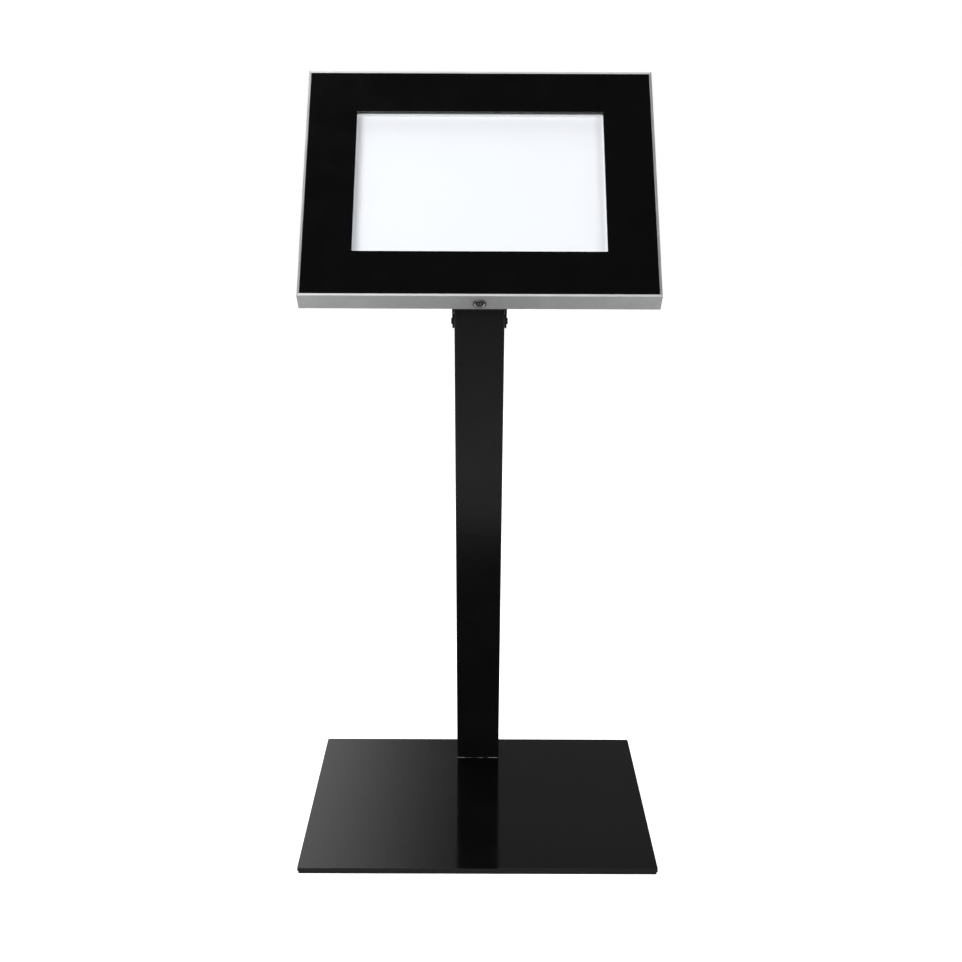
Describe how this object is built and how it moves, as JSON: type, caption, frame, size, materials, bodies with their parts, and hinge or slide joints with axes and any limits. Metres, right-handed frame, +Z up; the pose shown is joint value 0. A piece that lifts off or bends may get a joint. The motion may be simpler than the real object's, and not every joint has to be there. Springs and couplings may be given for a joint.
{
  "type": "sign stand",
  "caption": "Free-standing sign stand: flat square base, forward-leaning column, and a tilting glazed sign case with a lockable lift-up door.",
  "frame": {"origin": "centre of the base's underside, on the floor", "axes": "+Z up, -Y towards the reader, +X to the reader's right"},
  "size_m": [0.45, 0.45, 0.9783],
  "materials": {
    "black_powder_coat": "fine satin black powder coat on steel",
    "door_black": "black lacquered aluminium sheet",
    "black_screws": "black-coated steel screws",
    "underlay_rubber": "matt black rubber",
    "grey_gasket": "pale grey sheet gasket",
    "cap_plastic": "black moulded end cap",
    "friction_nylon": "black nylon washer",
    "zinc_steel": "zinc-plated steel",
    "silver_anodised": "fine silver anodised extrusion",
    "plain_aluminium": "mill-finish aluminium",
    "standoff_brass": "turned brass",
    "board_composite": "white rigid foam board",
    "sign_white": "blank white printed sheet",
    "mount_white": "white rigid foam mount",
    "clear_glazing": "clear low-reflection glass",
    "tape_grey": "grey foam glazing tape",
    "lock_black_nickel": "dark nickel-plated lock body",
    "lock_steel": "nickel-plated lock core"
  },
  "bodies": {
    "stand": {"base_plate": "black_powder_coat", "base_underlay": "underlay_rubber", "foot_screws": "zinc_steel", "foot_gasket": "grey_gasket", "foot_plug": "zinc_steel", "column_tube": "black_powder_coat", "column_set_screws": "black_screws", "column_cap": "cap_plastic", "pivot_insert_left": "zinc_steel", "pivot_insert_right": "zinc_steel", "friction_washer_left": "friction_nylon", "friction_washer_right": "friction_nylon", "pivot_bolt_left": "black_screws", "pivot_bolt_right": "black_screws"},
    "case": {"tilt_bracket": "black_powder_coat", "bracket_bolt_1": "zinc_steel", "bracket_bolt_2": "zinc_steel", "bracket_bolt_3": "zinc_steel", "bracket_bolt_4": "zinc_steel", "bracket_nut_1": "zinc_steel", "bracket_nut_2": "zinc_steel", "bracket_nut_3": "zinc_steel", "bracket_nut_4": "zinc_steel", "case_rail_bottom": "silver_anodised", "case_rail_top": "silver_anodised", "case_rail_left": "silver_anodised", "case_rail_right": "silver_anodised", "corner_key_1": "plain_aluminium", "corner_key_2": "plain_aluminium", "corner_key_3": "plain_aluminium", "corner_key_4": "plain_aluminium", "back_panel": "plain_aluminium", "back_panel_screws": "zinc_steel", "board_standoffs": "standoff_brass", "board_standoff_screws": "zinc_steel", "backing_board": "board_composite", "sign_sheet": "sign_white", "white_mount": "mount_white", "door_bumpers": "underlay_rubber", "hinge_pin_left": "zinc_steel", "hinge_pin_right": "zinc_steel", "lock_housing": "lock_black_nickel", "lock_nut": "zinc_steel"},
    "door": {"door_panel": "door_black", "glazing_tape": "tape_grey", "glazing": "clear_glazing", "door_keeper": "zinc_steel", "door_keeper_screws": "zinc_steel"},
    "lock": {"lock_core": "lock_steel", "lock_cam": "zinc_steel", "cam_screw": "zinc_steel"}
  },
  "joints": [
    {"name": "case_tilt", "type": "hinge", "parent": "stand", "child": "case", "pos_m": [0, -0.15102, 0.68313], "axis": [1, 0, 0], "range_deg": [-30, 30]},
    {"name": "door_open", "type": "hinge", "parent": "case", "child": "door", "pos_m": [0, -0.02402, 0.96588], "axis": [-1, 0, 0], "range_deg": [0, 100]},
    {"name": "lock_turn", "type": "hinge", "parent": "case", "child": "lock", "pos_m": [0, -0.206, 0.71022], "axis": [0, 0.6157, 0.788], "range_deg": [0, 90]}
  ]
}
